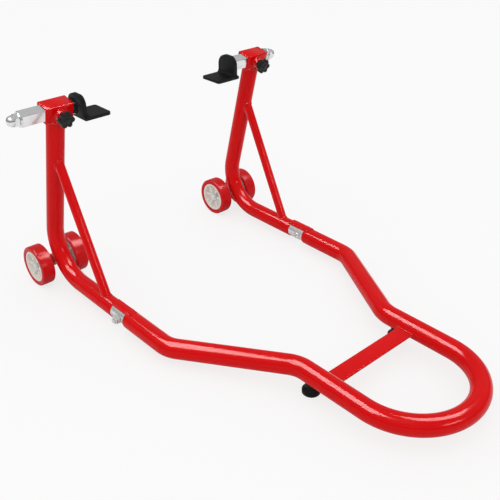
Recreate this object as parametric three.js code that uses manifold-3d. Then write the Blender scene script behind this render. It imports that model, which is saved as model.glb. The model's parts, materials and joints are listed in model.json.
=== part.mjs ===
// Rear paddock stand: two wheeled side arms, a bolted-on loop handle and two
// sliding, swivelling support pads. Millimetres, +Z up, handle towards -Y.
import * as THREE from 'three';
import { mergeVertices } from 'three/addons/utils/BufferGeometryUtils.js';
import Module from 'manifold-3d';

const wasm = await Module();
wasm.setup();

const SIDES = [['left', -1], ['right', 1]];
const FIT = 0.08; // radial clearance of a turning fit
const GAP = 0.2; // gap between pieces that only touch or are welded
const THROUGH = 200; // length of a cutter that passes right through a piece

// Side arms: an upright that leans towards the handle, one bend, a level lower run.
const ARM = { x: 208, r: 15, wall: 2, bend: 70, cornerY: 7.5, z: 23, endY: -195 };
const LEAN = THREE.MathUtils.degToRad(14.5);
const UPRIGHT = 326; // corner of the bend to the middle of the head sleeve
const UP = new THREE.Vector3(0, -Math.sin(LEAN), Math.cos(LEAN));
const CORNER = new THREE.Vector3(0, ARM.cornerY, ARM.z);
const HEAD = CORNER.clone().addScaledVector(UP, UPRIGHT);
const BRACE = { r: 8, wall: 1.5, topY: -53.8, topZ: 260, footY: -172 };

// Handle: elbow, neck, then a half-round loop at hand height.
const HANDLE = { r: 16, wall: 2, startY: -232, elbowY: -336, elbowBend: 50,
  neckX: 100, neckY: -512, neckZ: 34, neckBend: 55, loopY: -639 };
const CROSSBAR = { width: 28, thick: 4, y: -565, top: 34.5 };
const FOOT = { r: 14, neckR: 10.5, padH: 10, neckZ: 14, y: -539,
  saddleH: 5, boreR: 6.2, boreDepth: 9, screwR: 3, screwLength: 18, headR: 5.5, headH: 4 };

// Bolted connector between each arm and the handle.
const SPIGOT = { armR: 12.7, r: 13.7, boreR: 9.5, startY: -160, endY: -272 };
const KEY = { halfWidth: 8, low: 9, r: 17.8, startY: -192, endY: -243 };
const BOLT = { y: -219, r: 4, flatX: 13.2, flatDepth: 10, faceR: 9, headR: 7, headH: 4.4,
  nutFlats: 13, nutH: 8, stub: 3 };

// Wheels, one each side of both arms on a common axle line.
// A wheel's boss runs in to the axle housing and stops short outside, where the nut sits recessed.
const WHEEL = { r: 37, width: 24, offset: 34, rimR: 28.4, rimInnerR: 24.5, rimHalf: 11,
  webHalf: 2, bossR: 9, bossIn: 13, ribHalf: 8, ribs: 6, ribThick: 3.6, ribFrom: 10.5 };
const AXLE = { r: 5, housingR: 11, housingHalf: 20, washerR: 9, washerT: 1.4,
  nutFlats: 15, nutH: 5, stub: 1 };
const SADDLE = { width: 26, reach: 24, height: 18.7 }; // block between the housing and the arm's bend

// Head: square sleeve, clamp screw, sliding square adapter and L-shaped pad.
const SLEEVE = { length: 48, size: 28, bore: 21, corner: 2.5 };
const CLAMP = { bossR: 9, bossH: 8, studR: 4, tip: 10.1, knobR: 13.5, knobH: 11, knobBack: 26.5,
  collarR: 8, collarH: 4, lobes: 6, lobeDepth: 3 };
const BAR = { size: 20, wall: 2, corner: 1.5, length: 94.1, cap: 5, noseR: 8, boltR: 6 };
const PAD = { back: 17, front: 26, up: 20, down: 19, upright: 8,
  reach: 50, shelf: 5, shelfBack: 16, shelfFront: 31 };
const PLATE = { outer: 2, thick: 3, shelfThick: 2, inset: 2.5, under: 1.5, headR: 9.5, headH: 1.8 };
const FLANGE = { neckR: 7.8, neck: 5, r: 12.5, thick: 2.4 }; // the neck plugs the bar's end
const CAP_NUT = { flats: 19, hex: 8, domeR: 9, height: 18.5, depth: 12 };
const PAD_X = { left: 175.5, right: 148 }; // where each pad's outer face stands at rest

const paint = (color, roughness, metalness) =>
  new THREE.MeshStandardMaterial({ color, roughness, metalness });
const MATERIAL = {
  red: paint(0xc8141b, 0.28, 0.1),
  zinc: paint(0xc2c6c8, 0.32, 0.9),
  chrome: paint(0xe4e7ea, 0.08, 1),
  tyre: paint(0xb81a20, 0.5, 0),
  hub: paint(0xece7db, 0.45, 0),
  rubber: paint(0x1c1c1d, 0.75, 0),
  plastic: paint(0x161617, 0.5, 0),
  steel: paint(0x3b3d40, 0.5, 0.8),
};

const stand = new THREE.Group();

function add(parent, name, geometry, material) {
  const mesh = new THREE.Mesh(geometry, material);
  mesh.name = name;
  parent.add(mesh);
  return mesh;
}

function groupAt(parent, x, y, z) {
  const group = new THREE.Group();
  group.position.set(x, y, z);
  parent.add(group);
  return group;
}

// --- solids -------------------------------------------------------------

function toSolid(geometry) {
  const bare = geometry.clone();
  bare.deleteAttribute('normal');
  bare.deleteAttribute('uv');
  const merged = mergeVertices(bare, 1e-4);
  return new wasm.Manifold(new wasm.Mesh({
    numProp: 3,
    vertProperties: new Float32Array(merged.attributes.position.array),
    triVerts: new Uint32Array(merged.index.array),
  }));
}

function toGeometry(solid) {
  const { vertProperties, triVerts } = solid.getMesh();
  const geometry = new THREE.BufferGeometry();
  geometry.setAttribute('position', new THREE.Float32BufferAttribute(vertProperties, 3));
  geometry.setIndex(new THREE.Uint32BufferAttribute(triVerts, 1));
  geometry.computeVertexNormals();
  return geometry;
}

const cut = (body, ...tools) => toGeometry(
  tools.reduce((left, tool) => left.subtract(toSolid(tool)), toSolid(body)));
const join = (...bodies) => toGeometry(
  bodies.map(toSolid).reduce((sum, body) => sum.add(body)));

const box = (x, y, z) => new THREE.BoxGeometry(x, y, z);
const rodX = (r, length, segments = 20) =>
  new THREE.CylinderGeometry(r, r, length, segments).rotateZ(-Math.PI / 2);
const rodY = (r, length, segments = 20) => new THREE.CylinderGeometry(r, r, length, segments);
const rodZ = (r, length, segments = 20) =>
  new THREE.CylinderGeometry(r, r, length, segments).rotateX(Math.PI / 2);
const hexX = (acrossFlats, length) => rodX(acrossFlats / Math.sqrt(3), length, 6);

// A closed profile of [radius, distance along the axis] turned about X or Y.
function turnedY(profile, segments = 24) {
  const points = profile.map(([r, y]) => new THREE.Vector2(r, y));
  return new THREE.LatheGeometry([...points, points[0].clone()], segments);
}
const turnedX = (profile, segments) => turnedY(profile, segments).rotateZ(-Math.PI / 2);

function ring(outerR, innerR, thickness, segments = 24) {
  const half = thickness / 2;
  return turnedX([[innerR, -half], [outerR, -half], [outerR, half], [innerR, half]], segments);
}

// A button head: flat underside at X = 0, a short rim, then a dome to X = height.
function domeX(r, height, rim) {
  const points = [[0, 0], [r, 0], [r, rim]];
  for (let i = 1; i <= 3; i += 1) {
    const angle = (i * Math.PI) / 8;
    points.push([r * Math.cos(angle), rim + (height - rim) * Math.sin(angle)]);
  }
  points.push([0, height]);
  const profile = points.map(([radius, x]) => new THREE.Vector2(radius, x));
  return new THREE.LatheGeometry(profile, 20).rotateZ(-Math.PI / 2);
}

function roundedSquare(size, corner) {
  const half = size / 2;
  const inner = half - corner;
  const shape = new THREE.Shape();
  shape.absarc(inner, inner, corner, 0, Math.PI / 2);
  shape.absarc(-inner, inner, corner, Math.PI / 2, Math.PI);
  shape.absarc(-inner, -inner, corner, Math.PI, Math.PI * 1.5);
  shape.absarc(inner, -inner, corner, Math.PI * 1.5, Math.PI * 2);
  return shape;
}

// An outline in (Y, Z) swept along X from one station to another.
function sweptX(outline, from, to, curveSegments = 3) {
  const depth = Math.abs(to - from);
  const geometry = new THREE.ExtrudeGeometry(outline, { depth, bevelEnabled: false, curveSegments });
  return geometry.rotateY(Math.PI / 2).rotateX(Math.PI / 2).translate(Math.min(from, to), 0, 0);
}

// --- bent tubes ---------------------------------------------------------

// Straight runs joined by arcs; one cross-section per knot.
class BentPath extends THREE.Curve {
  constructor(corners, radii, stepAngle = Math.PI / 16) {
    super();
    this.knots = [{ point: corners[0], tangent: direction(corners[0], corners[1]) }];
    for (let i = 1; i < corners.length - 1; i += 1) {
      this.addBend(corners[i - 1], corners[i], corners[i + 1], radii[i - 1], stepAngle);
    }
    const last = corners.length - 1;
    this.knots.push({ point: corners[last], tangent: direction(corners[last - 1], corners[last]) });
  }

  addBend(before, corner, after, radius, stepAngle) {
    const into = direction(before, corner);
    const away = direction(corner, after);
    const turn = into.angleTo(away);
    const start = corner.clone().addScaledVector(into, -radius * Math.tan(turn / 2));
    const axis = into.clone().cross(away).normalize();
    const inward = axis.clone().cross(into);
    const centre = start.clone().addScaledVector(inward, radius);
    const steps = Math.max(2, Math.ceil(turn / stepAngle));
    for (let i = 0; i <= steps; i += 1) {
      const angle = (turn * i) / steps;
      const spoke = inward.clone().negate().applyAxisAngle(axis, angle);
      this.knots.push({
        point: centre.clone().addScaledVector(spoke, radius),
        tangent: into.clone().applyAxisAngle(axis, angle),
      });
    }
  }

  get steps() { return this.knots.length - 1; }

  knotAt(t) { return this.knots[Math.round(t * this.steps)]; }

  getUtoTmapping(u) { return u; }

  getPoint(t) { return this.knotAt(t).point.clone(); }

  getTangent(t) { return this.knotAt(t).tangent.clone(); }
}

function direction(from, to) {
  return to.clone().sub(from).normalize();
}

function bentTube(path, r, wall = 0, curveSegments = 10) {
  const shape = new THREE.Shape().absarc(0, 0, r, 0, Math.PI * 2);
  if (wall > 0) shape.holes.push(new THREE.Path().absarc(0, 0, r - wall, 0, Math.PI * 2, true));
  return new THREE.ExtrudeGeometry(shape, {
    steps: path.steps, extrudePath: path, curveSegments, bevelEnabled: false,
  });
}

function armPath() {
  const top = HEAD.clone().addScaledVector(UP, -SLEEVE.size / 2 - GAP);
  const end = new THREE.Vector3(0, ARM.endY, ARM.z);
  return new BentPath([top, CORNER, end], [ARM.bend]);
}

function handlePath() {
  const { elbowY, elbowBend, neckX, neckY, neckZ, neckBend, loopY, startY } = HANDLE;
  const oneSide = (side) => [
    new THREE.Vector3(side * ARM.x, startY, ARM.z),
    new THREE.Vector3(side * ARM.x, elbowY, ARM.z),
    new THREE.Vector3(side * neckX, neckY, neckZ),
    new THREE.Vector3(side * neckX, loopY - neckX, neckZ),
  ];
  const corners = [...oneSide(-1), ...oneSide(1).reverse()];
  const radii = [elbowBend, neckBend, neckX - 0.01, neckX - 0.01, neckBend, elbowBend];
  return new BentPath(corners, radii);
}

// --- fixed frame --------------------------------------------------------

function addHandle() {
  let tube = bentTube(handlePath(), HANDLE.r, HANDLE.wall);
  for (const [, side] of SIDES) {
    const hole = rodZ(FOOT.screwR + GAP, HANDLE.r, 12);
    tube = cut(tube, hole.translate(side * HANDLE.neckX, FOOT.y, HANDLE.neckZ - HANDLE.r));
  }
  add(stand, 'handle_tube', tube, MATERIAL.red);
  const length = 2 * (HANDLE.neckX - HANDLE.r - GAP);
  const bar = add(stand, 'crossbar', box(length, CROSSBAR.width, CROSSBAR.thick), MATERIAL.red);
  bar.position.set(0, CROSSBAR.y, CROSSBAR.top - CROSSBAR.thick / 2);
}

function addFoot(label, side) {
  const place = groupAt(stand, side * HANDLE.neckX, FOOT.y, 0);
  const tubeAxis = rodY(HANDLE.r + GAP, THROUGH, 32).translate(0, 0, HANDLE.neckZ);
  const { r, neckR, padH, neckZ, saddleH } = FOOT;
  const height = HANDLE.neckZ - HANDLE.r + saddleH;
  const profile = [[0, 0], [r - 1, 0], [r, 1.2], [r, padH], [neckR, neckZ], [neckR, height], [0, height]];
  const outline = profile.map(([radius, z]) => new THREE.Vector2(radius, z));
  const body = new THREE.LatheGeometry(outline, 28).rotateX(Math.PI / 2);
  const counterbore = rodZ(FOOT.boreR, FOOT.boreDepth * 2);
  const bore = rodZ(FOOT.screwR + GAP, THROUGH, 12);
  add(place, `foot_${label}`, cut(body, tubeAxis, counterbore, bore), MATERIAL.rubber);
  const seat = FOOT.boreDepth - GAP;
  const shank = rodZ(FOOT.screwR, FOOT.screwLength, 12).translate(0, 0, seat + FOOT.screwLength / 2 - 1);
  const head = rodZ(FOOT.headR, FOOT.headH).translate(0, 0, seat - FOOT.headH / 2);
  add(place, `foot_screw_${label}`, join(shank, head), MATERIAL.zinc);
}

function addArm(label, side) {
  const place = groupAt(stand, side * ARM.x, 0, 0);
  const path = armPath();
  add(place, `arm_${label}`, bentTube(path, ARM.r, ARM.wall), MATERIAL.red);
  const keepOff = bentTube(path, ARM.r + GAP);
  addBrace(place, label, keepOff);
  addAxle(place, label, side, keepOff);
  addJoint(place, label, side, keepOff);
}

function addBrace(place, label, keepOff) {
  const top = new THREE.Vector3(0, BRACE.topY, BRACE.topZ);
  const foot = new THREE.Vector3(0, BRACE.footY, ARM.z);
  const tube = bentTube(new BentPath([top, foot], []), BRACE.r, BRACE.wall, 8);
  add(place, `brace_${label}`, cut(tube, keepOff), MATERIAL.red);
}

function addAxle(place, label, side, keepOff) {
  const hub = groupAt(place, 0, 0, WHEEL.r);
  const housing = rodX(AXLE.housingR, AXLE.housingHalf * 2);
  const arcCentre = bendCentre();
  const lean = Math.atan2(arcCentre.z - WHEEL.r, arcCentre.y);
  const saddle = box(SADDLE.width, SADDLE.reach, SADDLE.height)
    .translate(0, SADDLE.reach / 2, 0).rotateX(lean);
  const shifted = keepOff.clone().translate(0, 0, -WHEEL.r);
  const bore = rodX(AXLE.r + FIT, THROUGH);
  add(hub, `axle_housing_${label}`, cut(join(housing, saddle), shifted, bore), MATERIAL.red);
  const washerX = WHEEL.offset + WHEEL.webHalf + GAP + AXLE.washerT / 2;
  const nutX = washerX + (AXLE.washerT + AXLE.nutH) / 2 + GAP;
  add(hub, `axle_${label}`, rodX(AXLE.r, 2 * nutX + AXLE.nutH + 2 * AXLE.stub), MATERIAL.zinc);
  for (const [where, out] of [['outer', side], ['inner', -side]]) {
    const washer = add(hub, `axle_washer_${label}_${where}`,
      ring(AXLE.washerR, AXLE.r + FIT, AXLE.washerT), MATERIAL.zinc);
    washer.position.x = out * washerX;
    const nut = add(hub, `axle_nut_${label}_${where}`,
      cut(hexX(AXLE.nutFlats, AXLE.nutH), rodX(AXLE.r + FIT, THROUGH)), MATERIAL.zinc);
    nut.position.x = out * nutX;
    addWheel(hub, `${label}_${where}`, out);
  }
}

function bendCentre() {
  const away = new THREE.Vector3(0, -1, 0);
  const half = UP.angleTo(away) / 2;
  const inward = UP.clone().add(away).normalize();
  return CORNER.clone().addScaledVector(inward, ARM.bend / Math.sin(half));
}

function addWheel(parent, label, out) {
  const w = WHEEL;
  const half = w.width / 2;
  const place = groupAt(parent, out * w.offset, 0, 0);
  place.rotation.z = out > 0 ? 0 : Math.PI; // local +X faces away from the arm
  const tread = w.rimR + FIT;
  add(place, `tyre_${label}`, turnedX([
    [tread, -half], [w.r - 1.5, -half], [w.r, -half + 1.5],
    [w.r, half - 1.5], [w.r - 1.5, half], [tread, half],
  ], 28), MATERIAL.tyre);
  const bore = AXLE.r + FIT;
  const disc = turnedX([
    [bore, -w.bossIn], [w.bossR, -w.bossIn], [w.bossR, -w.webHalf], [w.rimInnerR, -w.webHalf],
    [w.rimInnerR, -w.rimHalf], [w.rimR, -w.rimHalf], [w.rimR, w.rimHalf], [w.rimInnerR, w.rimHalf],
    [w.rimInnerR, w.webHalf], [bore, w.webHalf],
  ], 28);
  const ribs = [];
  for (let i = 0; i < w.ribs; i += 1) {
    const rib = box(w.ribHalf * 2, w.rimInnerR + 1 - w.ribFrom, w.ribThick);
    rib.translate(0, (w.rimInnerR + 1 + w.ribFrom) / 2, 0).rotateX((i * 2 * Math.PI) / w.ribs);
    ribs.push(rib);
  }
  add(place, `hub_${label}`, join(disc, ...ribs), MATERIAL.hub);
}

function addJoint(place, label, side, keepOff) {
  const tube = groupAt(place, 0, 0, ARM.z);
  const step = ARM.endY - GAP;
  const crossHole = rodX(BOLT.r + GAP, THROUGH).translate(0, BOLT.y, 0);
  const flats = [-1, 1].map((way) => box(BOLT.flatDepth, BOLT.faceR * 2, BOLT.faceR * 2)
    .translate(way * (BOLT.flatX + BOLT.flatDepth / 2), BOLT.y, 0));
  const { armR, r, boreR, startY, endY } = SPIGOT;
  const bar = turnedY([[boreR, endY], [r, endY], [r, step], [armR, step], [armR, startY], [boreR, startY]]);
  add(tube, `connector_${label}`, cut(bar, crossHole, ...flats), MATERIAL.zinc);

  const key = box(KEY.halfWidth * 2, KEY.startY - KEY.endY, KEY.r - KEY.low)
    .translate(0, (KEY.startY + KEY.endY) / 2, (KEY.low + KEY.r) / 2);
  const outside = turnedY([[KEY.r, KEY.endY - 1], [KEY.r * 2, KEY.endY - 1],
    [KEY.r * 2, KEY.startY + 1], [KEY.r, KEY.startY + 1]], 48);
  const onConnector = rodY(r + GAP, THROUGH, 32).translate(0, BOLT.y, 0);
  const onHandle = rodY(HANDLE.r + GAP, THROUGH, 40)
    .translate(0, HANDLE.startY + GAP - THROUGH / 2, 0);
  const onArm = keepOff.clone().translate(0, 0, -ARM.z);
  add(tube, `joint_key_${label}`, cut(key, outside, onConnector, onHandle, onArm), MATERIAL.red);

  // The head sits on the inner flat and the nut on the outer one.
  const face = BOLT.flatX + GAP;
  const from = -face - 1;
  const to = face + BOLT.nutH + BOLT.stub;
  const shank = rodX(BOLT.r, to - from).translate(side * (from + to) / 2, 0, 0);
  const head = domeX(BOLT.headR, BOLT.headH, 1.2).rotateZ(side > 0 ? Math.PI : 0);
  head.translate(-side * face, 0, 0);
  add(tube, `joint_bolt_${label}`, join(shank, head).translate(0, BOLT.y, 0), MATERIAL.zinc);
  const nut = add(tube, `joint_nut_${label}`,
    cut(hexX(BOLT.nutFlats, BOLT.nutH), rodX(BOLT.r + FIT, THROUGH)), MATERIAL.zinc);
  nut.position.set(side * (face + BOLT.nutH / 2), BOLT.y, 0);
}

for (const [label, side] of SIDES) addArm(label, side);
addHandle();
for (const [label, side] of SIDES) addFoot(label, side);

// --- heads, adapters and pads -------------------------------------------

function addHead(label, side) {
  const head = groupAt(stand, side * ARM.x, HEAD.y, HEAD.z);
  head.rotation.x = LEAN;
  addSleeve(head, label);
  addClamp(head, label);
  const adapter = groupAt(head, side * (PAD_X[label] - ARM.x), 0, 0);
  adapter.rotation.z = side > 0 ? 0 : Math.PI;
  addAdapter(adapter, label);
  addPad(groupAt(stand, side * PAD_X[label], HEAD.y, HEAD.z), label, side);
}

function addSleeve(head, label) {
  const half = SLEEVE.length / 2;
  const outline = roundedSquare(SLEEVE.size, SLEEVE.corner);
  outline.holes.push(roundedSquare(SLEEVE.bore, SLEEVE.corner - 1));
  const hole = rodY(CLAMP.studR + GAP, 20).translate(0, -SLEEVE.size / 2, 0);
  add(head, `sleeve_${label}`, cut(sweptX(outline, -half, half), hole), MATERIAL.red);
}

// Screwed boss on the sleeve's front, with the knob and stud that clamp the adapter.
function addClamp(head, label) {
  const c = CLAMP;
  const face = -SLEEVE.size / 2 - GAP;
  const boss = rodY(c.bossR, c.bossH, 32).translate(0, face - c.bossH / 2, 0);
  add(head, `clamp_boss_${label}`, cut(boss, rodY(c.studR + FIT, THROUGH)), MATERIAL.red);

  const studEnd = -c.knobBack - c.knobH / 2;
  const stud = rodY(c.studR, -c.tip - studEnd).translate(0, (studEnd - c.tip) / 2, 0);
  add(head, `clamp_stud_${label}`, stud, MATERIAL.zinc);

  const bevel = 1.2;
  const grip = new THREE.ExtrudeGeometry(lobedOutline(c.knobR - bevel, c.lobes, c.lobeDepth), {
    depth: c.knobH - 2 * bevel, bevelSize: bevel, bevelThickness: bevel, bevelSegments: 1,
  }).rotateX(Math.PI / 2).translate(0, -c.knobBack - bevel, 0);
  const collar = rodY(c.collarR, c.collarH + 2).translate(0, -c.knobBack + c.collarH / 2 - 1, 0);
  const socket = rodY(c.studR + FIT, THROUGH).translate(0, studEnd - GAP + THROUGH / 2, 0);
  add(head, `clamp_knob_${label}`, cut(join(grip, collar), socket), MATERIAL.plastic);
}

function lobedOutline(r, lobes, depth) {
  const points = [];
  const count = lobes * 8;
  for (let i = 0; i < count; i += 1) {
    const angle = (i * 2 * Math.PI) / count;
    const radius = r - depth * ((1 - Math.cos(lobes * angle)) / 2) ** 2;
    points.push(new THREE.Vector2(radius * Math.cos(angle), radius * Math.sin(angle)));
  }
  return new THREE.Shape(points);
}

// Local +X runs outwards from the pad's outer face along the adapter.
function addAdapter(place, label) {
  const { size, wall, corner, length, cap, noseR, boltR } = BAR;
  const skin = sweptX(roundedSquare(size, corner), GAP, length);
  const core = sweptX(roundedSquare(size - 2 * wall, 0.5), cap, length + 1);
  const nose = rodX(noseR, PLATE.outer + cap / 2 - GAP)
    .translate((cap / 2 - PLATE.outer + GAP) / 2, 0, 0);
  const bore = rodX(boltR + FIT, THROUGH * 2);
  add(place, `adapter_tube_${label}`, cut(join(cut(skin, core), nose), bore), MATERIAL.chrome);

  const face = length + GAP;
  const end = face + FLANGE.thick;
  const bush = turnedX([[boltR + FIT, length - FLANGE.neck], [FLANGE.neckR, length - FLANGE.neck],
    [FLANGE.neckR, face], [FLANGE.r, face], [FLANGE.r, end], [boltR + FIT, end]]);
  add(place, `adapter_flange_${label}`, bush, MATERIAL.chrome);

  const seat = end + GAP;
  add(place, `adapter_nut_${label}`, capNut().translate(seat, 0, 0), MATERIAL.chrome);

  const under = -PLATE.outer - PLATE.thick - GAP;
  const shankEnd = seat + CAP_NUT.depth - 1;
  const from = under - PLATE.headH / 2;
  const shank = rodX(boltR, shankEnd - from).translate((shankEnd + from) / 2, 0, 0);
  const head = rodX(PLATE.headR, PLATE.headH).translate(under - PLATE.headH / 2, 0, 0);
  add(place, `adapter_bolt_${label}`, join(shank, head), MATERIAL.zinc);
}

function capNut() {
  const { flats, hex, domeR, height, depth } = CAP_NUT;
  const profile = [[0, hex - 2], [domeR, hex - 2], [domeR, height - domeR]];
  for (let i = 1; i <= 4; i += 1) {
    const angle = (i * Math.PI) / 10;
    profile.push([domeR * Math.cos(angle), height - domeR + domeR * Math.sin(angle)]);
  }
  profile.push([0, height]);
  const dome = new THREE.LatheGeometry(profile.map(([r, x]) => new THREE.Vector2(r, x)), 20);
  const body = hexX(flats, hex).translate(hex / 2, 0, 0);
  const bore = rodX(BAR.boltR + FIT, depth * 2);
  return cut(join(dome.rotateZ(-Math.PI / 2), body), bore);
}

// Round-topped outline of the pad's upright in (Y, Z) about the pivot, drawn in by a margin.
function padOutline(margin, low) {
  const half = (PAD.front + PAD.back) / 2;
  const middle = (PAD.back - PAD.front) / 2;
  const r = half - margin;
  const shape = new THREE.Shape();
  shape.moveTo(middle - r, low);
  shape.lineTo(middle + r, low);
  shape.absarc(middle, PAD.up - half, r, 0, Math.PI);
  shape.closePath();
  return shape;
}

// An L: an upright between two X stations, and a wider shelf along its foot.
function angleBody(side, { margin, outer, thick, low, shelfTop, reach }) {
  const upright = sweptX(padOutline(margin, low), -side * outer, -side * (outer + thick), 12);
  const length = reach - outer;
  const width = PAD.shelfFront + PAD.shelfBack - 2 * margin;
  const shelf = box(length, width, shelfTop - low).translate(
    -side * (outer + length / 2), (PAD.shelfBack - PAD.shelfFront) / 2, (shelfTop + low) / 2);
  return join(upright, shelf);
}

function addPad(place, label, side) {
  const { outer, thick, shelfThick, inset, under, headR, headH } = PLATE;
  const plate = (grow) => angleBody(side, {
    margin: inset - grow,
    outer: outer - grow,
    thick: thick + 2 * grow,
    low: under - PAD.down - grow,
    shelfTop: under + shelfThick - PAD.down + grow,
    reach: PAD.reach - inset + grow,
  });
  const bore = rodX(BAR.boltR + FIT, THROUGH);
  add(place, `pad_plate_${label}`, cut(plate(0), bore), MATERIAL.steel);

  const skin = angleBody(side, {
    margin: 0,
    outer: 0,
    thick: PAD.upright,
    low: -PAD.down,
    shelfTop: PAD.shelf - PAD.down,
    reach: PAD.reach,
  });
  const opening = rodX(BAR.noseR + GAP, 2 * outer, 32);
  const recess = rodX(headR + GAP, headH + GAP * 2 + 1).translate(
    -side * (outer + thick + (headH + GAP * 2 - 1) / 2), 0, 0);
  add(place, `pad_cover_${label}`, cut(skin, plate(FIT), opening, recess), MATERIAL.rubber);
}

for (const [label, side] of SIDES) addHead(label, side);

// Bring the origin to the middle of the footprint, on the floor.
const bounds = new THREE.Box3().setFromObject(stand);
const middle = bounds.getCenter(new THREE.Vector3());
stand.position.set(-middle.x, -middle.y, -bounds.min.z);

export default stand;
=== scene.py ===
"""A rear paddock stand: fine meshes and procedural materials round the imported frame.

Lengths are in metres in the frame's own axes: +Z up, +Y from the handle to the wheels.
"""
import json
import math

import bmesh
import bpy
from mathutils import Matrix, Vector

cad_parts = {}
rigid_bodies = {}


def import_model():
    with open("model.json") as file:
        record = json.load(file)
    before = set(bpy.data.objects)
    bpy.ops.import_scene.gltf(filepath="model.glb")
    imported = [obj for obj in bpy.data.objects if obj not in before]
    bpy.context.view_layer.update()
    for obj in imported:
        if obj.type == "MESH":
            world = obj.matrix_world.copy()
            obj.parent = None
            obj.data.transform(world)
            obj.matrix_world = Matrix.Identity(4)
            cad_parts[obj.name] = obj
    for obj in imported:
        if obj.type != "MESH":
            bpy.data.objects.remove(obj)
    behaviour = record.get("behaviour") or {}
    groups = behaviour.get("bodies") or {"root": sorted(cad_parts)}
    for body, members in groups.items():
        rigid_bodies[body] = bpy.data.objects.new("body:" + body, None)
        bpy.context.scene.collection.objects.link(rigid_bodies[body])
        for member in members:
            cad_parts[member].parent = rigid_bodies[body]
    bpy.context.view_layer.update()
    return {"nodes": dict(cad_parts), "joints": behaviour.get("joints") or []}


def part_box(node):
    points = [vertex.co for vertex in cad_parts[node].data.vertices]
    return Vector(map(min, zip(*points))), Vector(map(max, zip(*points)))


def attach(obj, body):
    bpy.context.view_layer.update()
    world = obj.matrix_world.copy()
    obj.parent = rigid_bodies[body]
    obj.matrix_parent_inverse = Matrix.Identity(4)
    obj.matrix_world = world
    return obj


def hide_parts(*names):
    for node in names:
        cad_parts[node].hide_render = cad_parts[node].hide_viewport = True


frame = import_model()

MM = 0.001
SIDES = {"left": -1, "right": 1}
X, Y, Z = Vector((1, 0, 0)), Vector((0, 1, 0)), Vector((0, 0, 1))


def centre(node):
    low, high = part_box(node)
    return (low + high) / 2


# --- driving sizes, in millimetres ---

ARM_R, ARM_WALL, ARM_BEND = 15, 2, 70
HANDLE_R, HANDLE_WALL = 16, 2
HANDLE_LIP = (4.5, 1.7)               # length and depth of the rounding at the tube's ends
ELBOW_BACK, ELBOW_BEND = 336, 50      # distance behind the axle line, bend radius
NECK_BACK, NECK_BEND = 512, 55
BRACE_R, BRACE_TOP, BRACE_FOOT_BACK = 8, 260, 172
CROSSBAR_CORNER = 1.1
SLEEVE, SLEEVE_BORE, SLEEVE_CORNER = 28, 21, 2.5
BOSS_R, BOSS_HEIGHT, STUD_R, STUD_START, STUD_LENGTH = 9, 8, 4, 10.1, 22
BAR, BAR_WALL, BAR_CORNER, BAR_LENGTH, BAR_BOLT_R = 20, 2, 1.8, 94.1, 6
NOSE_R, NECK_R, NECK_LENGTH = 8, 7.8, 5            # nose on the pad's side, neck in the outer end
FLANGE_R, FLANGE_THICK = 12.5, 2.4
PAD_THICK, PAD_SHELF = 8, 5
PAD_BACK, PAD_FRONT, PAD_SHELF_BACK = 17, 26, 16   # from the pivot; the shelf's front is the box's
TYRE_R, TYRE_HALF, TYRE_BORE_R = 37, 12, 28.5
AXLE_R, HOUSING_R, HOUSING_HALF = 5, 11, 20
SADDLE_HALF_WIDTH, SADDLE_HALF_HEIGHT, SADDLE_REACH = 12, 9, 20
SPIGOT_R, SPIGOT_STEP_R, SPIGOT_BORE_R, SPIGOT_FLAT = 13.7, 12.7, 9.5, 13.2
KEY_R, KEY_HALF_WIDTH = 17.8, 8
JOINT_SEAT, JOINT_NUT, JOINT_STUB = 13.4, 8, 3     # bolt's seat from the middle, nut, thread past it
FOOT_R, FOOT_NECK_R, FOOT_SCREW_R = 14, 9.2, 3
GAP = 0.2                                          # between pieces that are welded or clamped
WELDS = {"brace": 1.7, "crossbar": 2.4, "sleeve": 2.3, "boss": 1.5, "saddle": 1.6, "key": 1.0}

# --- places, from the frame ---

ARM_X = {side: centre(f"arm_{side}").x for side in SIDES}
HEAD = {side: centre(f"sleeve_{side}") for side in SIDES}
AXLE = {side: centre(f"axle_{side}") for side in SIDES}
AXLE_Y = AXLE["left"].y
MID_X = (ARM_X["left"] + ARM_X["right"]) / 2
NECK_X = centre("foot_right").x - MID_X
LOW_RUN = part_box("arm_left")[0].z + ARM_R * MM
LOOP_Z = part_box("handle_tube")[1].z - HANDLE_R * MM
KNOB_JOINT = next(j for j in frame["joints"] if j["name"] == "knob_left_turn")
FRONT = Vector(KNOB_JOINT["axis"]).normalized()  # out of the sleeve's front face
UP = FRONT.cross(X).normalized()                 # along the upright

# --- meshes ---


def loft(rings, closed=False):
    """Quads between matching rings of points; the end rings are capped unless the rings close up."""
    count, sides = len(rings), len(rings[0])
    verts = [tuple(point) for ring in rings for point in ring]
    faces = []
    for i in range(count if closed else count - 1):
        a, b = i * sides, (i + 1) % count * sides
        for j in range(sides):
            k = (j + 1) % sides
            faces.append((a + j, a + k, b + k, b + j))
    if not closed:
        faces.append(tuple(range(sides)))
        faces.append(tuple(range((count - 1) * sides, count * sides)))
    return verts, faces


def cross_axes(axis):
    """Two unit vectors square to an axis."""
    first = axis.cross(Z if abs(axis.z) < 0.9 else X).normalized()
    return first, axis.cross(first)


def around(at, u, v, radius, sides):
    """Points on a circle about a place, in the plane of two axes; the radius is in millimetres."""
    angles = (2 * math.pi * i / sides for i in range(sides))
    return [at + (u * math.cos(a) + v * math.sin(a)) * radius * MM for a in angles]


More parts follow.
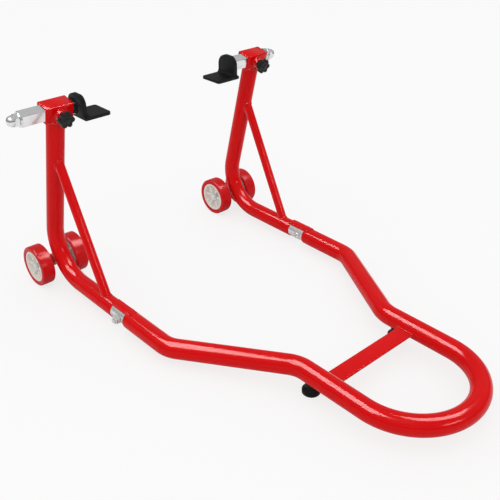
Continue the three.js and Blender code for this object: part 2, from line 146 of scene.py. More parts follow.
def fillet(points, radius, closed=True, steps=4):
    """A polyline of 2-D points with its corners rounded; radius is one number or one per point."""
    points = [Vector(p) for p in points]
    radii = radius if isinstance(radius, (list, tuple)) else [radius] * len(points)
    rounded = []
    for i, corner in enumerate(points):
        if radii[i] <= 0 or (not closed and i in (0, len(points) - 1)):
            rounded.append(corner)
            continue
        before = points[i - 1] - corner
        after = points[(i + 1) % len(points)] - corner
        half = before.angle(after) / 2
        if half > math.radians(89):
            rounded.append(corner)
            continue
        reach = min(radii[i] / math.tan(half), 0.49 * before.length, 0.49 * after.length)
        arc_r = reach * math.tan(half)
        hub = corner + (before.normalized() + after.normalized()).normalized() * arc_r / math.sin(half)
        start = corner + before.normalized() * reach - hub
        end = corner + after.normalized() * reach - hub
        turn = start.angle_signed(end)
        for k in range(steps + 1):
            angle = -turn * k / steps
            spun = Vector((start.x * math.cos(angle) - start.y * math.sin(angle),
                           start.x * math.sin(angle) + start.y * math.cos(angle)))
            rounded.append(hub + spun)
    return rounded


def rectangle(left, low, right, high, radius):
    return fillet([(left, low), (right, low), (right, high), (left, high)], radius)


def turned(profile, at, axis, sides=64):
    """Turns (radius, distance) millimetre pairs about an axis; a start at radius 0 makes a solid."""
    u, v = cross_axes(axis)
    solid = profile[0][0] == 0
    rings = [around(at + axis * along * MM, u, v, r, sides) for r, along in profile if r > 0]
    return loft(rings, closed=not solid)


def bent_path(corners, radii, step=math.radians(3)):
    """Knots (point, tangent) along straight runs joined by arcs."""
    knots = [(corners[0], (corners[1] - corners[0]).normalized())]
    for before, corner, after, radius in zip(corners, corners[1:], corners[2:], radii):
        into = (corner - before).normalized()
        away = (after - corner).normalized()
        turn = into.angle(away)
        start = corner - into * radius * math.tan(turn / 2)
        axis = into.cross(away).normalized()
        hub = start + axis.cross(into) * radius
        steps = max(2, math.ceil(turn / step))
        for i in range(steps + 1):
            spin = Matrix.Rotation(turn * i / steps, 3, axis)
            knots.append((hub + spin @ (start - hub), spin @ into))
    knots.append((corners[-1], (corners[-1] - corners[-2]).normalized()))
    return knots


def ring_frames(knots):
    """Each knot with two axes square to its tangent, carried along without twist."""
    first, _ = cross_axes(knots[0][1])
    frames = []
    for point, tangent in knots:
        first = (first - tangent * first.dot(tangent)).normalized()
        frames.append((point, tangent, first, tangent.cross(first)))
    return frames


def tube(knots, radius, wall, sides=64, lip=(1.0, 1.0)):
    """A bent tube with rounded lips at its open ends; lip is (length, depth), all in millimetres."""
    frames = ring_frames(knots)

    def circle(at, r, shift=0.0):
        point, tangent, u, v = at
        return around(point + tangent * shift * MM, u, v, r, sides)

    def end_lip(at, inward, outer_first):
        length, depth = lip
        turns = [math.pi / 2 * i / 6 for i in range(7)]  # a quarter ellipse
        steps = [(radius - depth * (1 - math.cos(a)), length * (1 - math.sin(a))) for a in turns]
        steps += [(radius - wall + 0.2, 0), (radius - wall, 0.3)]
        rings = [circle(at, r, inward * s) for r, s in steps]
        return rings if outer_first else rings[::-1]

    inner = radius - wall
    rings = end_lip(frames[0], 1, False)
    rings += [circle(at, radius) for at in frames[1:-1]]
    rings += end_lip(frames[-1], -1, True)
    rings += [circle(at, inner) for at in frames[-2:0:-1]]
    return loft(rings, closed=True)


def rounded_square(size, corner, steps=6):
    half = size / 2
    return fillet([(half, half), (-half, half), (-half, -half), (half, -half)], corner, steps=steps)


def square_tube(at, axis, across, length, outer, bore, corner, bevel=0.6):
    """A square tube centred on a point, with softened end edges; sizes in millimetres."""
    other = axis.cross(across)

    def ring(size, radius, along):
        return [at + (axis * along + across * p.x + other * p.y) * MM
                for p in rounded_square(size, radius)]

    half = length / 2
    rings = []
    for sign in (-1, 1):
        face = [ring(outer, corner, sign * (half - bevel)),
                ring(outer - bevel, corner, sign * (half - 0.3 * bevel)),
                ring(outer - 2 * bevel, corner - 0.3, sign * half),
                ring(bore + 2 * 0.3, 1.3, sign * half),
                ring(bore, 1, sign * (half - 0.3))]
        rings += face[::-1] if sign < 0 else face
    return loft(rings, closed=True)


def prism(outline, to_point, low, high):
    """A flat outline swept from one station to another; to_point(p, station) places a vertex."""
    return loft([[to_point(p, station) for p in outline] for station in (low, high)])


def thread(at, axis, length, radius, pitch=1.25, sides=36):
    """A rod with a helical ridge, closed at both ends; sizes in millimetres."""
    u, v = cross_axes(axis)
    depth = 0.5 * pitch
    steps = max(2, round(length / (pitch / 6)))
    rings = []
    for i in range(steps + 1):
        along = length * i / steps
        fade = min(1, along / pitch, (length - along) / pitch)
        ring = []
        for j in range(sides):
            angle = 2 * math.pi * j / sides
            phase = (along / pitch - angle / (2 * math.pi)) % 1
            groove = abs(2 * phase - 1) * fade + (1 - fade)
            r = radius - depth * groove
            ring.append(at + axis * along * MM + (u * math.cos(angle) + v * math.sin(angle)) * r * MM)
        rings.append(ring)
    return loft(rings)


HEX_SIDES = 72


def hex_radius(flats, angle):
    sector = (angle + math.pi / 6) % (math.pi / 3) - math.pi / 6
    return flats / 2 / math.cos(sector)


def level(value):
    """A station's radius or height that is the same at every angle."""
    return lambda angle: value


def hex_rings(at, axis, stations):
    """Rings for a chamfered hexagon; a station is (radius function of angle, height function of angle)."""
    u, v = cross_axes(axis)
    rings = []
    for radius_at, height_at in stations:
        ring = []
        for i in range(HEX_SIDES):
            angle = 2 * math.pi * i / HEX_SIDES
            spoke = u * math.cos(angle) + v * math.sin(angle)
            ring.append(at + (axis * height_at(angle) + spoke * radius_at(angle)) * MM)
        rings.append(ring)
    return rings


def hex_stations(flats, height):
    """Outside of a hexagon from its underside to its top, with the corners turned off."""
    turned_r = flats / 2 * 0.97
    drop = math.tan(math.radians(30))

    def fall(angle):
        return max(0.0, hex_radius(flats, angle) - turned_r) * drop

    def outline(angle):
        return hex_radius(flats, angle)

    return [(level(turned_r), level(0)), (outline, fall),
            (outline, lambda a: height - fall(a)), (level(turned_r), level(height))]


def hex_nut(at, axis, flats, height, bore):
    """A chamfered nut whose underside is at a point and whose axis points away from it."""
    chamfer = 0.5
    hole = [(level(bore), level(height - chamfer)), (level(bore), level(chamfer)),
            (level(bore + chamfer), level(0))]
    stations = hole + hex_stations(flats, height) + [(level(bore + chamfer), level(height))]
    return loft(hex_rings(at, axis, stations), closed=True)


# --- objects ---


CREASE = 38   # degrees; edges sharper than this stay creased


def build(name, shape, sharp=CREASE):
    """A smooth-shaded mesh object from (verts, faces), with creases sharper than an angle kept."""
    mesh = bpy.data.meshes.new(name)
    mesh.from_pydata(*(shape[0], [], shape[1]))
    bm = bmesh.new()
    bm.from_mesh(mesh)
    bmesh.ops.recalc_face_normals(bm, faces=bm.faces)
    bm.to_mesh(mesh)
    bm.free()
    mesh.shade_smooth()
    mesh.set_sharp_from_angle(angle=math.radians(sharp))
    obj = bpy.data.objects.new(name, mesh)
    bpy.context.scene.collection.objects.link(obj)
    return obj


def apply_modifiers(obj, sharp=CREASE):
    graph = bpy.context.evaluated_depsgraph_get()
    mesh = bpy.data.meshes.new_from_object(obj.evaluated_get(graph), depsgraph=graph)
    obj.modifiers.clear()
    obj.data = mesh
    mesh.shade_smooth()
    mesh.set_sharp_from_angle(angle=math.radians(sharp))
    return obj


def combine(obj, shape, operation="DIFFERENCE"):
    """Cuts, joins or intersects an object with another shape."""
    tool = build("tool", shape)
    step = obj.modifiers.new("combine", "BOOLEAN")
    step.operation, step.object, step.solver = operation, tool, "EXACT"
    apply_modifiers(obj)
    bpy.data.objects.remove(tool)
    return obj


def soften(obj, width, segments=3, angle=50):
    """Rounds an object's sharp edges."""
    step = obj.modifiers.new("soften", "BEVEL")
    step.width, step.segments = width * MM, segments
    step.limit_method, step.angle_limit = "ANGLE", math.radians(angle)
    step.harden_normals = False
    return apply_modifiers(obj)


def piece(obj, body, slot, *nodes):
    """Gives an object its material and its body, and hides the CAD nodes that it stands for."""
    obj.data.materials.clear()
    obj.data.materials.append(MATERIALS[slot]())
    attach(obj, body)
    if nodes:
        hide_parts(*nodes)
    return obj


def weld(name, points, radius, closed=True, pitch=1.9, sides=12):
    """A rippled weld bead laid along a curve, with five rings to a ripple."""
    steps = 5
    points = [Vector(p) for p in points]
    run = points + [points[0]] if closed else points
    lengths = [0.0]
    for a, b in zip(run, run[1:]):
        lengths.append(lengths[-1] + (b - a).length)
    ripples = max(3, round(lengths[-1] / (pitch * MM)))
    count = ripples * steps
    knots, k = [], 0
    for i in range(count if closed else count + 1):
        s = lengths[-1] * i / count
        while k < len(lengths) - 2 and lengths[k + 1] < s:
            k += 1
        t = (s - lengths[k]) / max(1e-9, lengths[k + 1] - lengths[k])
        knots.append(run[k].lerp(run[k + 1], t))
    rings = []
    for i, point in enumerate(knots):
        after = knots[(i + 1) % len(knots)] if closed else knots[min(i + 1, len(knots) - 1)]
        before = knots[i - 1] if closed else knots[max(i - 1, 0)]
        tangent = (after - before).normalized()
        u, v = cross_axes(tangent)
        swell = 1 - 0.16 * (i % steps) / (steps - 1)
        if not closed:
            swell *= min(1.0, 0.35 + min(i, len(knots) - 1 - i) / 4)
        rings.append([point + (u * math.cos(a) + v * math.sin(a)) * radius * swell * MM
                      for a in (2 * math.pi * j / sides for j in range(sides))])
    if closed:  # line each ring up with the one before, so that the sweep does not twist
        rings = aligned(rings)
    return piece(build(name, loft(rings, closed=closed), sharp=60), "frame", "red_coat")


def aligned(rings):
    """Rotates the start of each ring to the place nearest the previous ring's start."""
    lined = [rings[0]]
    for ring in rings[1:]:
        start = min(range(len(ring)), key=lambda j: (ring[j] - lined[-1][0]).length)
        lined.append(ring[start:] + ring[:start])
    return lined


# --- materials ---


class Shader:
    """A node material built from plain calls."""

    def __init__(self, name):
        self.material = bpy.data.materials.new(name)
        self.material.use_nodes = True
        self.tree = self.material.node_tree
        self.bsdf = self.tree.nodes["Principled BSDF"]
        self.place = self.add("ShaderNodeTexCoord").outputs["Object"]

    def add(self, kind, inputs=None, **settings):
        made = self.tree.nodes.new(kind)
        for key, value in settings.items():
            setattr(made, key, value)
        for key, value in (inputs or {}).items():
            self.feed(made.inputs[key], value)
        return made

    def feed(self, socket, value):
        if isinstance(value, bpy.types.NodeSocket):
            self.tree.links.new(value, socket)
        else:
            socket.default_value = value

    def set(self, **inputs):
        for key, value in inputs.items():
            self.feed(self.bsdf.inputs[key.replace("_", " ")], value)

    def stretched(self, scale):
        mapping = self.add("ShaderNodeMapping", {"Vector": self.place, "Scale": scale})
        return mapping.outputs["Vector"]

    def noise(self, scale, detail=4.0, rough=0.55, vector=None):
        """Fractal noise over the piece, from 0 to 1 and mostly near the middle."""
        made = self.add("ShaderNodeTexNoise", {
            "Vector": vector or self.place, "Scale": scale, "Detail": detail, "Roughness": rough})
        return made.outputs["Fac"]

    def span(self, value, low, high, source=(0.3, 0.7)):
        """Spreads a value over a new span."""
        made = self.add("ShaderNodeMapRange", {
            "Value": value, "From Min": source[0], "From Max": source[1], "To Min": low, "To Max": high})
        return made.outputs["Result"]

    def mix(self, factor, first, second):
        made = self.add("ShaderNodeMix", data_type="RGBA", blend_type="MIX")
        self.feed(made.inputs[0], factor)
        self.feed(made.inputs[6], first)
        self.feed(made.inputs[7], second)
        return made.outputs[2]

    def math(self, operation, first, second):
        made = self.add("ShaderNodeMath", operation=operation)
        self.feed(made.inputs[0], first)
        self.feed(made.inputs[1], second)
        return made.outputs[0]

    def bump(self, height, distance, strength=1.0, under=None):
        inputs = {"Height": height, "Distance": distance, "Strength": strength}
        if under is not None:
            inputs["Normal"] = under
        return self.add("ShaderNodeBump", inputs).outputs["Normal"]


def rgb(r, g, b):
    return (r, g, b, 1.0)


def once(make):
    """Keeps one copy of a material for all the pieces that use it."""
    kept = {}

    def cached():
        if make not in kept:
            kept[make] = make()
        return kept[make]
    return cached


@once
def red_coat():
    """Gloss powder coat: orange peel, slight depth changes, a few fine rub marks."""
    s = Shader("red_powder_coat")
    depth = s.span(s.noise(14, 3), 0, 1)
    colour = s.mix(depth, rgb(0.65, 0.0018, 0.0028), rgb(0.71, 0.0026, 0.0040))
    rubs = s.span(s.noise(60, 6, 0.7, s.stretched((14, 1, 3))), 0, 1, (0.62, 0.74))
    colour = s.mix(s.math("MULTIPLY", rubs, 0.06), colour, rgb(0.80, 0.05, 0.05))
    peel = s.noise(620, 2, 0.5)
    rough = s.math("ADD", s.span(s.noise(90, 4), 0.11, 0.16), s.math("MULTIPLY", rubs, 0.12))
    s.set(Base_Color=colour, Roughness=rough, Specular_IOR_Level=0.13,
          Normal=s.bump(peel, 0.00003, 0.25))
    return s.material


@once
def chrome():
    """Bright plate with faint polishing lines and smudges."""
    s = Shader("chrome_plate")
    lines = s.noise(40, 5, 0.7, s.stretched((0.5, 26, 26)))
    smudge = s.span(s.noise(70, 5, 0.6), 0, 1, (0.45, 0.7))
    s.set(Base_Color=s.mix(smudge, rgb(0.90, 0.905, 0.91), rgb(0.78, 0.79, 0.80)), Metallic=1.0,
          Roughness=s.span(smudge, 0.14, 0.24, (0, 1)), Normal=s.bump(lines, 0.00002, 0.35))
    return s.material


@once
def zinc():
    """Zinc plate: soft spangle, turning marks and a duller film in patches."""
    s = Shader("zinc_plate")
    grain = s.add("ShaderNodeTexVoronoi", {"Vector": s.place, "Scale": 420.0}).outputs["Color"]
    tone = s.mix(0.10, rgb(0.82, 0.84, 0.83), grain)
    film = s.span(s.noise(110, 5), 0, 1, (0.4, 0.7))
    colour = s.mix(s.math("MULTIPLY", film, 0.4), tone, rgb(0.66, 0.69, 0.68))
    marks = s.noise(70, 5, 0.7, s.stretched((1, 30, 1)))
    s.set(Base_Color=colour, Metallic=0.75, Roughness=s.span(film, 0.24, 0.40, (0, 1)),
          Normal=s.bump(marks, 0.00004, 0.4))
    return s.material


@once
def tyre_red():
    """Cast polyurethane: satin red with scuffs and a fine pebble."""
    s = Shader("red_polyurethane")
    scuff = s.span(s.noise(260, 6, 0.65), 0, 1, (0.55, 0.75))
    colour = s.mix(s.math("MULTIPLY", scuff, 0.25), rgb(0.60, 0.0022, 0.0045), rgb(0.50, 0.012, 0.012))
    s.set(Base_Color=colour, Roughness=s.span(s.noise(180, 4), 0.18, 0.28), Specular_IOR_Level=0.16,
          Normal=s.bump(s.noise(1500, 3), 0.00004, 0.5))
    return s.material


@once
def hub_plastic():
    """Moulded nylon, off-white, with flow marks and a little grime in random patches."""
    s = Shader("cream_nylon")
    flow = s.span(s.noise(50, 3, 0.5, s.stretched((2, 1, 1))), 0, 1)
    grime = s.span(s.noise(240, 5, 0.6), 0, 1, (0.5, 0.75))
    colour = s.mix(flow, rgb(0.80, 0.77, 0.71), rgb(0.86, 0.83, 0.77))
    colour = s.mix(s.math("MULTIPLY", grime, 0.12), colour, rgb(0.46, 0.42, 0.38))
    s.set(Base_Color=colour, Roughness=s.span(grime, 0.38, 0.55, (0, 1)),
          Normal=s.bump(s.noise(900, 3), 0.00003, 0.5))
    return s.material


def rubber(name, stripe_axis, pitch, tone=1.0):
    """Matt black rubber with fine moulded lines, a pebbled skin and a dusting of bloom."""
    s = Shader(name)
    bloom = s.span(s.noise(120, 6, 0.65), 0, 1, (0.45, 0.75))
    # tone scales the whole colour; below one it is painted shade, as on the foot's rubber.
    dark = rgb(*(tone * v for v in (0.006, 0.006, 0.0065)))
    pale = rgb(*(tone * v for v in (0.020, 0.020, 0.022)))
    colour = s.mix(s.math("MULTIPLY", bloom, 0.5), dark, pale)
    wave = s.add("ShaderNodeTexWave", {"Vector": s.place, "Scale": 0.314 / pitch, "Distortion": 0.3,
                                       "Detail": 1.0}, bands_direction=stripe_axis)
    pebble = s.bump(s.noise(1800, 4), 0.00006, 0.6)
    s.set(Base_Color=colour, Roughness=s.span(bloom, 0.45, 0.65, (0, 1)), Specular_IOR_Level=0.2,
          Normal=s.bump(wave.outputs["Fac"], 0.0002, 0.5, pebble))
    return s.material


@once
def pad_rubber():
    return rubber("pad_rubber", "Y", 0.0035)


@once
def foot_rubber():
    # Painted shade: the foot's rubber is the pads' rubber darkened to about a third, for the buffer that
    # sits under the handle.
    return rubber("foot_rubber", "Z", 0.004, tone=0.35)


@once
def knob_plastic():
    """Glass-filled black plastic with a sparked mould texture."""
    s = Shader("black_moulded_plastic")
    haze = s.span(s.noise(300, 5), 0, 1)
    s.set(Base_Color=s.mix(haze, rgb(0.005, 0.005, 0.0055), rgb(0.012, 0.012, 0.013)),
          Roughness=s.span(haze, 0.34, 0.50, (0, 1)), Specular_IOR_Level=0.3,
          Normal=s.bump(s.noise(2600, 3), 0.00005, 0.6))
    return s.material


@once
def plate_steel():
    """Pickled steel with mill scale left in patches."""
    s = Shader("mill_steel")
    scale = s.span(s.noise(130, 6, 0.6), 0, 1, (0.4, 0.6))
    s.set(Base_Color=s.mix(scale, rgb(0.30, 0.31, 0.32), rgb(0.12, 0.12, 0.13)), Metallic=0.9,
          Roughness=s.span(scale, 0.4, 0.6, (0, 1)), Normal=s.bump(s.noise(700, 4), 0.00005, 0.5))
    return s.material


MATERIALS = {"red_coat": red_coat, "chrome": chrome, "zinc": zinc, "tyre_red": tyre_red,
             "hub_plastic": hub_plastic, "pad_rubber": pad_rubber, "foot_rubber": foot_rubber,
             "knob_plastic": knob_plastic, "plate_steel": plate_steel}

# --- tubes ---


def arm_corners(side):
    """Top, bend and front end of an arm's centre line."""
    head = HEAD[side]
    corner = head - UP * (head.z - LOW_RUN) / UP.z
    end = Vector((head.x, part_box(f"arm_{side}")[0].y, LOW_RUN))
    return head - UP * SLEEVE / 2 * MM, corner, end


def add_arm(side):
    top, corner, end = arm_corners(side)
    knots = bent_path([top, corner, end], [ARM_BEND * MM])
    piece(build(f"arm_{side}_tube", tube(knots, ARM_R, ARM_WALL)), "frame", "red_coat", f"arm_{side}")
    add_brace(side, top, corner)


def leave_tube(point, along, axis_point, axis):
    """How far a point must travel to come out of a tube of the arm's size."""
    offset = point - axis_point
    offset -= axis * offset.dot(axis)
    drift = along - axis * along.dot(axis)
    a, b = drift.dot(drift), offset.dot(drift)
    c = offset.dot(offset) - (ARM_R * MM) ** 2
    return (-b + math.sqrt(b * b - a * c)) / a


def add_brace(side, top, corner, sides=48):
    """A thin tube whose ends are shaped to the arm, with a weld round each."""
    lower = Vector((top.x, AXLE_Y - BRACE_FOOT_BACK * MM, LOW_RUN))
    upper = corner + UP * (BRACE_TOP * MM - corner.z) / UP.z
    down = (lower - upper).normalized()
    u, v = cross_axes(down)
    spokes = around(Vector(), u, v, BRACE_R, sides)
    first = [upper + s + down * leave_tube(upper + s, down, corner, UP) for s in spokes]
    last = [lower + s - down * leave_tube(lower + s, -down, corner, Y) for s in spokes]
    middles = [[a.lerp(b, t) for a, b in zip(first, last)] for t in (0.02, 0.5, 0.98)]
    piece(build(f"brace_{side}_tube", loft([first, *middles, last])), "frame", "red_coat",
          f"brace_{side}")
    weld(f"weld_brace_top_{side}", first, WELDS["brace"])
    weld(f"weld_brace_foot_{side}", last, WELDS["brace"])


def handle_corners():
    """From the left joint, round the loop, to the right joint."""
    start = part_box("handle_tube")[1].y
    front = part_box("handle_tube")[0].y + HANDLE_R * MM

    def one_side(sign):
        arm_x = MID_X + sign * (ARM_X["right"] - MID_X)
        neck_x = MID_X + sign * NECK_X
        return [Vector((arm_x, start, LOW_RUN)), Vector((arm_x, AXLE_Y - ELBOW_BACK * MM, LOW_RUN)),
                Vector((neck_x, AXLE_Y - NECK_BACK * MM, LOOP_Z)), Vector((neck_x, front, LOOP_Z))]

    return one_side(-1) + one_side(1)[::-1]


def add_handle():
    """The loop handle, with a hole in its underside for each foot's screw."""
    loop_r = NECK_X - 0.00001  # a hair short, so that a little straight is left between the arcs
    radii = [ELBOW_BEND * MM, NECK_BEND * MM, loop_r, loop_r, NECK_BEND * MM, ELBOW_BEND * MM]
    knots = bent_path(handle_corners(), radii)
    obj = build("handle_loop", tube(knots, HANDLE_R, HANDLE_WALL, sides=72, lip=HANDLE_LIP))
    hole_r, depth = FOOT_SCREW_R + 0.2, 25
    for side in SIDES:
        foot = centre(f"foot_{side}")
        hole = turned([(0, -depth), (hole_r, -depth), (hole_r, 0), (0, 0)],
                      Vector((foot.x, foot.y, LOOP_Z)), Z, 24)
        combine(obj, hole)
    piece(obj, "frame", "red_coat", "handle_tube")


def add_crossbar():
    """A flat bar whose ends are hollowed to the handle's cheeks, with a weld round each."""
    low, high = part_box("crossbar")
    cheek = HANDLE_R * MM
    middle = (low + high) / 2
    half_depth = (high.y - low.y) / 2
    top, bottom = high.z, low.z
    section = rectangle(-half_depth, bottom, half_depth, top, CROSSBAR_CORNER * MM)

    def end_x(z, sign):
        reach = math.sqrt(cheek ** 2 - (z - LOOP_Z) ** 2)
        return MID_X + sign * (NECK_X - reach)

    rings = [[Vector((end_x(p.y, sign), middle.y + p.x, p.y)) for p in section] for sign in (-1, 1)]
    mid = [a.lerp(b, 0.5) for a, b in zip(*rings)]
    piece(build("crossbar_flat", loft([rings[0], mid, rings[1]])), "frame", "red_coat", "crossbar")
    for side, ring in zip(SIDES, rings):
        weld(f"weld_crossbar_{side}", ring, WELDS["crossbar"])


# --- heads ---


def add_sleeve(side):
    """Square tube across the arm's top, with a hole for the clamp stud in its front."""
    head = HEAD[side]
    low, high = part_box(f"sleeve_{side}")
    length = (high.x - low.x) / MM
    obj = build(f"sleeve_{side}_tube",
                square_tube(head, X, FRONT, length, SLEEVE, SLEEVE_BORE, SLEEVE_CORNER))
    hole_r, hole_start, hole_end = STUD_R + 0.3, 5, 20
    hole = [(0, hole_start), (hole_r, hole_start), (hole_r, hole_end), (0, hole_end)]
    combine(obj, turned(hole, head, FRONT, 32))
    piece(obj, "frame", "red_coat", f"sleeve_{side}")
    arm_top = head - UP * SLEEVE / 2 * MM
    weld(f"weld_sleeve_{side}", around(arm_top, X, FRONT, ARM_R + GAP, 72), WELDS["sleeve"])


def add_clamp(side):
    """Boss, screw thread and star knob on the sleeve's front."""
    head = HEAD[side]
    face, bore = SLEEVE / 2, STUD_R + 0.15
    boss = rectangle(bore, face, BOSS_R, face + BOSS_HEIGHT, [0, 0, 1.2, 0.5])
    piece(build(f"clamp_boss_{side}_body", turned(boss, head, FRONT)), "frame", "red_coat",
          f"clamp_boss_{side}")
    ring = around(head + FRONT * face * MM, X, UP, BOSS_R + 0.3, 60)
    weld(f"weld_boss_{side}", ring, WELDS["boss"])
    stud = thread(head + FRONT * STUD_START * MM, FRONT, STUD_LENGTH, STUD_R)
    piece(build(f"clamp_stud_{side}_thread", stud), f"stud_{side}", "zinc", f"clamp_stud_{side}")
    piece(build(f"clamp_knob_{side}_star", star_knob(head)), f"knob_{side}", "knob_plastic",
          f"clamp_knob_{side}")


def star_knob(head, lobes=6, radius=13.4, depth=3.2, sides=144):
    """A six-lobed knob on a collar, with a raised cap in its face.

    Its stations run from the bottom of the stud's hole, round the collar, the lobes and the cap:
    a radius at an angle, and a distance from the sleeve's axis.
    """
    def lobed(inset):
        return lambda a: radius - inset - depth * ((1 - math.cos(lobes * a)) / 2) ** 1.5

    stations = [(level(4.2), 32), (level(4.2), 22.9), (level(4.6), 22.5), (level(7.6), 22.5),
                (level(8.0), 22.9), (level(8.0), 26.0), (level(8.5), 26.5), (lobed(1.7), 26.5),
                (lobed(0.8), 26.7), (lobed(0.2), 27.3), (lobed(0), 28.2), (lobed(0), 34.6),
                (lobed(0.25), 35.8), (lobed(0.9), 36.8), (lobed(2.0), 37.3), (level(7.4), 37.5),
                (level(6.9), 37.2), (level(6.5), 36.6), (level(5.9), 36.6), (level(5.6), 37.2),
                (level(5.0), 37.5), (level(2.5), 37.6)]
    rings = []
    for radius_at, along in stations:
        rings.append([head + (FRONT * along + (X * math.cos(a) + UP * math.sin(a)) * radius_at(a)) * MM
                      for a in (2 * math.pi * i / sides for i in range(sides))])
    return loft(rings)


def pad_face(side):
    """Where the pivot's axis meets the pad's outer face."""
    low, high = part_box(f"pad_cover_{side}")
    return Vector((low.x if SIDES[side] < 0 else high.x, HEAD[side].y, HEAD[side].z))


def add_adapter(side):
    """Square chrome slider with its nose, flange bush, cap nut and through bolt."""
    sign = SIDES[side]
    body = f"adapter_{side}"
    out = X * sign
    start = pad_face(side)
    gap = 0.3  # between the pad and the slider
    length = BAR_LENGTH - gap
    middle = start + out * (gap + length / 2) * MM
    obj = build(f"adapter_tube_{side}_slider",
                square_tube(middle, X, FRONT, length, BAR, BAR - 2 * BAR_WALL, BAR_CORNER))
    bore = BAR_BOLT_R + 0.1
    nose, plug_r, plug_end = -1.8, BAR / 2 - BAR_WALL - 1.1, 5  # nose in the pad, plug in the slider
    plug = fillet([(bore, nose), (NOSE_R, nose), (NOSE_R, 1), (plug_r, 1), (plug_r, plug_end),
                   (bore, plug_end)], [0.3, 0.4, 0, 0, 0, 0.3])
    combine(obj, turned(plug, start, out), "UNION")
    piece(obj, body, "chrome", f"adapter_tube_{side}")

    face = BAR_LENGTH + 0.2
    neck_end, flange_end = BAR_LENGTH - NECK_LENGTH, face + FLANGE_THICK
    flange = fillet([(bore, neck_end), (NECK_R, neck_end), (NECK_R, face), (FLANGE_R, face),
                     (FLANGE_R, flange_end), (bore, flange_end)], [0.3, 0.5, 0.2, 0.5, 0.8, 0.3])
    piece(build(f"adapter_flange_{side}_bush", turned(flange, start, out)), body, "chrome",
          f"adapter_flange_{side}")
    nut_at = start + out * (face + 2.6) * MM
    piece(build(f"adapter_nut_{side}_cap", cap_nut(nut_at, out)), body, "chrome",
          f"adapter_nut_{side}")
    rod, rod_end = BAR_BOLT_R - 0.1, face + 13.5
    head_r, head_top, head_seat = 9.5, -7, -5.2
    bolt = fillet([(0, head_top), (head_r, head_top), (head_r, head_seat), (rod, head_seat),
                   (rod, rod_end), (0, rod_end)], [0, 0.6, 0.3, 0.2, 0.8, 0], closed=False)
    piece(build(f"adapter_bolt_{side}_rod", turned(bolt, start, out, 40)), body, "zinc",
          f"adapter_bolt_{side}")


def cap_nut(at, axis, flats=19, hex_height=8, dome=9, height=18.5, bore=6.1, depth=12, steps=8):
    """A hexagon with a dome on it and a blind hole from below."""
    chamfer = 0.5
    stations = [(level(bore), level(depth)), (level(bore), level(chamfer)),
                (level(bore + chamfer), level(0))]
    stations += hex_stations(flats, hex_height)
    stations += [(level(dome), level(hex_height)), (level(dome), level(height - dome))]
    for i in range(1, steps):
        angle = math.pi / 2 * i / steps
        stations.append((level(dome * math.cos(angle)),
                         level(height - dome + dome * math.sin(angle))))
    return loft(hex_rings(at, axis, stations))


def add_pad(side):
    """An L of moulded rubber: upright with a round top, level shelf, rounded corners and edges."""
    sign = SIDES[side]
    low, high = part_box(f"pad_cover_{side}")
    pivot = pad_face(side)
    face = pivot.x
    thick, shelf, back = PAD_THICK, PAD_SHELF, PAD_BACK
    reach, tall = (high.x - low.x) / MM, (high.z - low.z) / MM
    tip = (pivot.y - low.y) / MM                    # shelf's front edge, from the pivot
    top_r = (PAD_FRONT + PAD_BACK) / 2

    def place(inward, y, z):
        return Vector((face - sign * inward * MM, pivot.y + y * MM, low.z + z * MM))

    section = fillet([(0, 0), (reach, 0), (reach, shelf), (thick, shelf), (thick, tall), (0, tall)],
                     [2.0, 2.2, 2.2, 6, 2.2, 1.8], steps=6)
    obj = build(f"pad_{side}_rubber", prism(section, lambda p, y: place(p.x, y, p.y), -tip, back))
    front = fillet([(-tip, -0.5), (back, -0.5), (back, tall), (-PAD_FRONT, tall), (-PAD_FRONT, shelf),
                    (-tip, shelf)], [0, 0, top_r, top_r, 4, 1.8], steps=18)
    combine(obj, prism(front, lambda p, w: place(w, p.x, p.y), -5, reach + 5), "INTERSECT")
    edge = PAD_SHELF_BACK
    plan = fillet([(-5, -tip), (reach, -tip), (reach, edge), (thick + 3, edge), (thick, back + 0.5),
                   (-5, back + 0.5)], [0, 7, 7, 3, 0, 0], steps=8)
    combine(obj, prism(plan, lambda p, z: place(p.x, p.y, z), -5, tall + 5), "INTERSECT")
    soften(obj, 1.2)
    socket_r, deep = NOSE_R + 0.2, 2  # the socket for the adapter's nose
    combine(obj, turned([(0, -deep), (socket_r, -deep), (socket_r, deep), (0, deep)], pivot,
                        X * sign, 48))
    piece(obj, f"pad_{side}", "pad_rubber", f"pad_cover_{side}")
    plate = frame["nodes"][f"pad_plate_{side}"]
    plate.data.materials.clear()
    plate.data.materials.append(plate_steel())


# --- wheels ---


def add_wheel(side, where):
    """A cast tread, crowned and rounded at its edges, on a spoked hub."""
    sign = SIDES[side] if where == "outer" else -SIDES[side]
    out = X * sign
    middle = centre(f"tyre_{side}_{where}")
    body = f"wheel_{side}_{where}"
    name = f"{side}_{where}"
    bore, edge = TYRE_BORE_R, TYRE_HALF
    near = [(bore, -edge + 0.4), (bore + 1.1, -edge), (TYRE_R - 2, -edge), (TYRE_R - 0.2, -edge + 1.4)]
    far = [(r, -along) for r, along in near[::-1]]
    tread = fillet([*near, (TYRE_R, 0), *far], [0.3, 0.6, 1.5, 1.8, 0, 1.8, 1.5, 0.6, 0.3], steps=5)
    piece(build(f"tyre_{name}_tread", turned(tread, middle, out, 96)), body, "tyre_red",
          f"tyre_{name}")
    piece(build(f"hub_{name}_moulding", wheel_hub(middle, out), sharp=30), body, "hub_plastic",
          f"hub_{name}")


